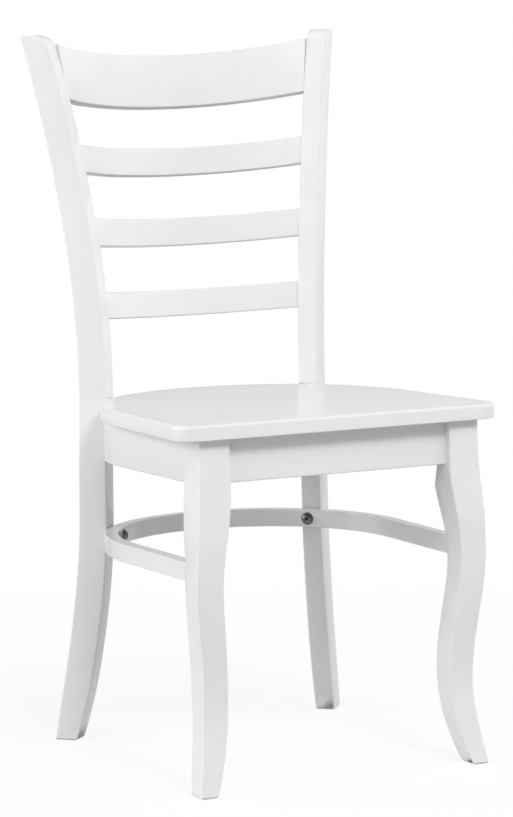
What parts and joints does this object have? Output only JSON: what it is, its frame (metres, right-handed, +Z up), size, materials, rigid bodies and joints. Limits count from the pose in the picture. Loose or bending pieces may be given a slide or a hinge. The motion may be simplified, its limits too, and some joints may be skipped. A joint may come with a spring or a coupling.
{
  "type": "wooden dining side chair",
  "caption": "Armless dining chair: bowed ladder back between splayed rear posts, rounded shield seat, S-curved front legs and a bent hoop stretcher, bolted together.",
  "frame": {"origin": "on the floor, in the middle of the chair's bounding box", "axes": "+Z up; the sitter faces -Y; +X is the viewer's right seen from the front"},
  "size_m": [0.4576, 0.536, 0.931],
  "materials": {
    "white_lacquer": "white satin lacquer over solid beech",
    "bare_beech": "bare planed beech, glued in place",
    "dark_steel": "dark plated steel",
    "zinc_steel": "zinc plated steel",
    "insert_brass": "turned brass"
  },
  "bodies": {
    "root": {"rear_leg_left": "white_lacquer", "rear_leg_right": "white_lacquer", "front_leg_left": "white_lacquer", "front_leg_right": "white_lacquer", "crest_rail": "white_lacquer", "back_slat_upper": "white_lacquer", "back_slat_middle": "white_lacquer", "back_slat_lower": "white_lacquer", "seat_panel": "white_lacquer", "apron_front": "white_lacquer", "apron_hoop": "white_lacquer", "stretcher_hoop": "white_lacquer", "corner_block_left": "bare_beech", "corner_block_right": "bare_beech", "rail_dowels": "bare_beech", "apron_dowels": "bare_beech", "stretcher_dowels": "bare_beech", "stretcher_bolts": "dark_steel", "stretcher_washers": "dark_steel", "apron_bolts": "dark_steel", "apron_washers": "dark_steel", "crest_screws": "dark_steel", "hanger_bolts": "zinc_steel", "hanger_washers": "zinc_steel", "hanger_nuts": "zinc_steel", "block_screws": "zinc_steel", "seat_screws": "zinc_steel", "seat_brackets": "zinc_steel", "bracket_screws": "zinc_steel", "leg_inserts": "insert_brass"}
  },
  "joints": []
}
